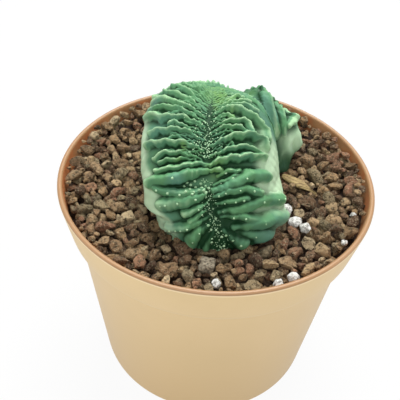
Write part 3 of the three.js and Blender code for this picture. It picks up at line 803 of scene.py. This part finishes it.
def mineral_pattern():
    """Shader group for dry, crumbly grains: a mottled colour with shade painted into its pits and pale
    dust, and a height for their pores.
    """
    group = bpy.data.node_groups.new("mineral_pattern", "ShaderNodeTree")
    for name, kind in (("Place", "NodeSocketVector"), ("Tone", "NodeSocketColor"),
                       ("Shade", "NodeSocketColor"), ("Dust", "NodeSocketColor"),
                       ("Scale", "NodeSocketFloat")):
        group.interface.new_socket(name=name, in_out="INPUT", socket_type=kind)
    group.interface.new_socket(name="Color", in_out="OUTPUT", socket_type="NodeSocketColor")
    group.interface.new_socket(name="Height", in_out="OUTPUT", socket_type="NodeSocketFloat")
    add, link = group.nodes.new, group.links.new
    given, result = add("NodeGroupInput").outputs, add("NodeGroupOutput").inputs
    coarse, fine = add("ShaderNodeTexNoise"), add("ShaderNodeTexNoise")
    finer = add("ShaderNodeMath")
    finer.operation = "MULTIPLY"
    finer.inputs[1].default_value = 2.6
    link(given["Scale"], coarse.inputs["Scale"])
    link(given["Scale"], finer.inputs[0])
    link(finer.outputs[0], fine.inputs["Scale"])
    for made in (coarse, fine):
        link(given["Place"], made.inputs["Vector"])
        made.inputs["Detail"].default_value = 3.0
        made.inputs["Roughness"].default_value = 0.7
    colour = given["Tone"]
    # Where the coarse height is low the colour goes to Shade: painted shade in the pits.
    for source, low, high, strength, other in ((coarse, 0.52, 0.38, 0.85, "Shade"),
                                               (fine, 0.54, 0.70, 0.65, "Dust")):
        share = add("ShaderNodeMapRange")
        for socket, value in (("From Min", low), ("From Max", high), ("To Max", strength)):
            share.inputs[socket].default_value = value
        link(source.outputs["Fac"], share.inputs["Value"])
        blend = add("ShaderNodeMix")
        blend.data_type = "RGBA"
        link(share.outputs["Result"], blend.inputs[0])
        link(colour, blend.inputs[6])
        link(given[other], blend.inputs[7])
        colour = blend.outputs[2]
    total = add("ShaderNodeMath")
    total.operation = "ADD"
    link(coarse.outputs["Fac"], total.inputs[0])
    link(fine.outputs["Fac"], total.inputs[1])
    link(colour, result["Color"])
    link(total.outputs[0], result["Height"])
    return group


mineral = mineral_pattern()


def mineral_finish(name, tone, shade, dust, scale, depth):
    """A rough, dry finish; the tone is a colour, or the name of an attribute that holds it."""
    finish = Finish(name, 0.95, Specular_IOR_Level=0.25)
    pattern = finish.node("ShaderNodeGroup", node_tree=mineral)
    finish.links.new(finish.place, pattern.inputs["Place"])
    if tone.startswith("#"):
        pattern.inputs["Tone"].default_value = colour_of(tone)
    else:
        paint = finish.node("ShaderNodeAttribute", attribute_name=tone)
        finish.links.new(paint.outputs["Color"], pattern.inputs["Tone"])
    pattern.inputs["Shade"].default_value = colour_of(shade)
    pattern.inputs["Dust"].default_value = colour_of(dust)
    pattern.inputs["Scale"].default_value = scale
    finish.colour(pattern.outputs["Color"])
    finish.bump(pattern.outputs["Height"], depth)
    return finish


fill_outline = [(0, POT_FLOOR + FILL_GAP), (FOOT_RADIUS - WALL - 2 * FILL_GAP, POT_FLOOR + FILL_GAP),
                (STEP_RADIUS - WALL - FILL_GAP, STEP_Z), (COLLAR_RADIUS - WALL - FILL_GAP, COLLAR_Z),
                (COLLAR_RADIUS - WALL + FILL_FLARE, SOIL_TOP), (0, SOIL_TOP)]
# The fill is painted dark, as shade seen in the gaps between the grains.
fill_finish = mineral_finish("fill_painted_shade", "#3a2b20", "#1f1711", "#5a4633", 600.0, 0.0008)
fill = add_object("soil_fill", turned(fill_outline, FILL_TURNS, "soil_fill"), fill_finish)
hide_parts("soil")
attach(fill, "root")


def footprint(x, y):
    """Below 1 inside the plant's foot, above 1 outside it: a superellipse for each lobe. The
    front one is narrower at its front left."""
    left = 14.8 + 2.8 * max(0.0, min(1.0, (y + 16.0) / 8.0))
    front_share = abs((x + 1.6) / (left if x < -1.6 else 18.6)) ** 3 + abs((y + 1.0) / 28.0) ** 3
    back_share = abs((x - 12.6) / 11.2) ** 2.6 + abs((y - 13.4) / 9.8) ** 2.6
    return min(front_share, back_share)


def scatter(rng, tries, sizes, packing, clear, placed):
    """Grains as (x, y, radius), thrown in one by one where there is room. Packing is how near
    they may come as a share of their radii, and clear how near the plant's foot."""
    cells = {}

    def cell(x, y):
        return int(x // CELL), int(y // CELL)

    for x, y, r in placed:
        cells.setdefault(cell(x, y), []).append((x, y, r))
    made = []
    for _ in range(tries):
        r = rng.triangular(*sizes)
        angle = rng.uniform(0, 2 * math.pi)
        out = THROW_REACH * math.sqrt(rng.random())
        x, y = out * math.cos(angle), out * math.sin(angle)
        if out + 0.85 * r > GRAVEL_REACH or footprint(x, y) < clear:
            continue
        ci, cj = cell(x, y)
        near = [g for i in (-1, 0, 1) for j in (-1, 0, 1) for g in cells.get((ci + i, cj + j), ())]
        if all(math.hypot(x - a, y - b) > packing * (r + s) for a, b, s in near):
            cells.setdefault((ci, cj), []).append((x, y, r))
            made.append((x, y, r))
    return made


def add_grain(work, layer, rng, x, y, z, radius, tone):
    """A broken, angular grain: a ball with flats knocked on it and its corners jogged."""
    made = bmesh.ops.create_icosphere(work, subdivisions=2, radius=1.0)["verts"]
    flats = []
    for _ in range(FLATS):
        way = Vector((rng.gauss(0, 1), rng.gauss(0, 1), rng.gauss(0, 1))).normalized()
        flats.append((way, rng.uniform(*FLAT_DEPTHS)))
    stretch = Vector((rng.uniform(1.0, 1.5), rng.uniform(0.8, 1.05), rng.uniform(0.7, 0.95)))
    turn = Matrix.Rotation(rng.uniform(0, 6.3), 3, "Z") @ Matrix.Rotation(rng.gauss(0, 0.4), 3, "X")
    for v in made:
        spot = v.co.copy()
        for way, depth in flats:
            over = spot.dot(way) - depth
            if over > 0:
                spot -= way * over
        spot *= rng.uniform(0.91, 1.09)
        spot = turn @ Vector(s * k for s, k in zip(spot, stretch))
        v.co = (Vector((x, y, z)) + spot * radius) * MM
        v[layer] = tone


def heaped(x, y):
    """How much higher the mix lies in mm: it rises to the wall at the sides and the back."""
    near_wall = max(0.0, math.hypot(x, y) - 35.0) / 8.0
    behind_front = min(1.0, max(0.0, (y + 28.0) / 24.0))
    return 2.4 * near_wall * behind_front


def add_gravel(name, seed, grains, height):
    """One layer of grains as a single piece, each grain with its own tone."""
    rng = random.Random(seed)
    work = bmesh.new()
    layer = work.verts.layers.float_color.new("tone")
    names, weights = zip(*GRAIN_TONES)
    for x, y, r in grains:
        tone = Vector(colour_of(rng.choices(names, weights)[0])) * rng.uniform(0.85, 1.27)
        z = rng.uniform(*height) + 0.2 * r + heaped(x, y)
        add_grain(work, layer, rng, x, y, z, r, tone)
    made = add_object(name, mesh_of(work, name, smooth=False), grit)
    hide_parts("soil")
    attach(made, "root")


grit = mineral_finish("baked_grit", "tone", "#33291c", "#bdb392", 950.0, 0.0010)
# Room that the upper layers leave for the loose grains and the sliver that lie on the lower one:
# x, y and radius in mm.
LOOSE = ((20.4, -12.4, 1.9), (22.0, -16.4, 1.9), (24.8, -18.3, 1.8), (16.8, -37.8, 1.5),
         (20.6, -35.6, 1.7), (2.1, -39.3, 1.5), (34.6, -22.3, 1.2), (38.4, -11.5, 1.2),
         (-0.5, -34.3, 2.3))
CHIP_FROM, CHIP_TO = Vector((19.6, 3.2, 0)), Vector((28.9, -4.2, 0))
chip_spots = [CHIP_FROM.lerp(CHIP_TO, share) for share in (0.05, 0.25, 0.45, 0.65, 0.85, 1.0)]
taken = LOOSE + tuple((spot.x, spot.y, 1.4) for spot in chip_spots)
rng = random.Random(11)
lower = scatter(rng, 12000, (1.2, 2.2, 1.7), 0.78, 0.75, ())
upper = scatter(rng, 9000, (1.5, 2.8, 1.9), 0.86, 1.0, taken)
small = scatter(rng, 14000, (0.7, 1.5, 1.1), 0.84, 1.0, tuple(upper) + taken)
add_gravel("gravel_lower", 12, lower, (66.3, 67.2))
add_gravel("gravel_upper", 13, upper, (67.9, 68.8))
add_gravel("gravel_small", 14, small, (68.0, 69.3))

# ---------- perlite and pumice ----------
# Loose white perlite grains and one grey pumice grain: volcanic glass blown full of pores. They
# lie on the bed of grit, each sunk a little between its grains.
PERLITE = ((20.0, -11.8, 1.6), (22.0, -16.4, 1.6), (24.8, -18.3, 1.5), (16.8, -37.8, 1.25),
           (20.6, -35.6, 1.4), (2.1, -39.3, 1.1), (34.6, -22.3, 0.9), (38.4, -11.5, 0.9))
PUMICE = (-0.5, -34.3, 1.9)
SEAT = 68.4  # height in mm of the bed of grains that loose pieces lie on
# Pores to a grain's radius, their size as a share of their spacing, and their depth as one of
# the radius.
PORES, PORE_SIZE, PORE_DEPTH = 3.4, 0.3, 0.30


def blown_grain(name, spot, seed, finish, blocky=2.0):
    """A lumpy grain with pits where its pores are broken open. A blocky one has flatter sides."""
    x, y, radius = spot
    rng = random.Random(seed)
    work = bmesh.new()
    bmesh.ops.create_icosphere(work, subdivisions=5, radius=1.0)
    shift = Vector((seed * 1.7, seed * 0.9, seed * 2.3))
    stretch = Vector((rng.uniform(0.95, 1.15), rng.uniform(0.85, 1.0), rng.uniform(0.8, 0.95)))
    turn = Matrix.Rotation(rng.uniform(0, 6.3), 3, "Z")
    for v in work.verts:
        lumps = 1 + 0.25 * noise.noise(v.co * 1.1 + shift) + 0.12 * noise.noise(v.co * 2.6 + shift)
        pore = noise.voronoi(v.co * PORES + shift)[0][0]
        depth = PORE_DEPTH * max(0.0, 1 - pore / PORE_SIZE) ** 0.5
        corner = sum(abs(c) ** blocky for c in v.co) ** (-1 / blocky)
        place = turn @ Vector(c * k for c, k in zip(v.co * (lumps - depth) * corner, stretch))
        v.co = (Vector((x, y, SEAT + 0.55 * radius)) + place * radius) * MM
    return add_object(name, mesh_of(work, name), finish)


white = mineral_finish("perlite_white", "#e0dfd9", "#84827a", "#f2f1ec", 1300.0, 0.0006)
grey = mineral_finish("pumice_grey", "#9a8f7a", "#51473a", "#c6bfab", 1000.0, 0.0010)
for i, spot in enumerate(PERLITE, 1):
    perlite = blown_grain(f"perlite_grain_{i}", spot, i, white)
    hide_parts(f"perlite_{i}")
    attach(perlite, "root")
pumice = blown_grain("pumice_grain", PUMICE, 21, grey, blocky=4.0)
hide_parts("pumice")
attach(pumice, "root")

# ---------- the sliver of bark ----------
# A dry, pointed sliver of bark, split along its fibres, that lies on the grit beside the plant.
# It has dried a little domed across and arched along its length.
CHIP_WIDTH, CHIP_THICK, CHIP_LIFT = 3.2, 0.45, 0.8
CHIP_TIP = 0.15  # half its width in mm at the sharp end
CHIP_DOME, CHIP_ARCH, FIBRE_RELIEF = 0.35, 0.5, 0.12
along = (CHIP_TO - CHIP_FROM).normalized()
beside = Vector((-along.y, along.x, 0))
length = (CHIP_TO - CHIP_FROM).length
work = bmesh.new()
bmesh.ops.create_grid(work, x_segments=40, y_segments=14, size=0.5)
for v in work.verts:
    share, side = v.co.x + 0.5, v.co.y * 2
    taper = 1 - max(0.0, share - 0.55) * 2.1
    half = CHIP_WIDTH / 2 * (1 - 0.75 * abs(2 * share - 0.85) ** 2.2) * taper
    fibre = FIBRE_RELIEF * math.sin(side * 9 + 1.5 * math.sin(share * 5))
    lift = CHIP_DOME * (1 - side * side) + fibre + CHIP_ARCH * math.sin(share * math.pi)
    spot = CHIP_FROM + along * share * length + beside * side * max(half, CHIP_TIP)
    v.co = (spot + Vector((0, 0, SEAT + CHIP_LIFT + lift))) * MM
bmesh.ops.solidify(work, geom=work.faces[:], thickness=CHIP_THICK * MM)
bmesh.ops.recalc_face_normals(work, faces=work.faces)
bark = Finish("dry_bark", 0.8)
heading = (0, 0, math.atan2(-along.y, along.x))
fibre_place = bark.node("ShaderNodeMapping", {"Vector": bark.place, "Rotation": heading,
                                              "Scale": (0.15, 1.0, 1.0)}).outputs[0]
fibres = bark.node("ShaderNodeTexNoise", {"Vector": fibre_place, "Scale": 2500.0,
                                          "Detail": 3.0}).outputs["Fac"]
bark.colour(bark.mix(bark.ramp(fibres, 0.3, 0.7), colour_of("#5f4b2e"), colour_of("#a48e5f")))
bark.bump(fibres, 0.0003)
chip = add_object("bark_sliver", mesh_of(work, "bark_sliver"), bark)
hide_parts("wood_chip")
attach(chip, "root")
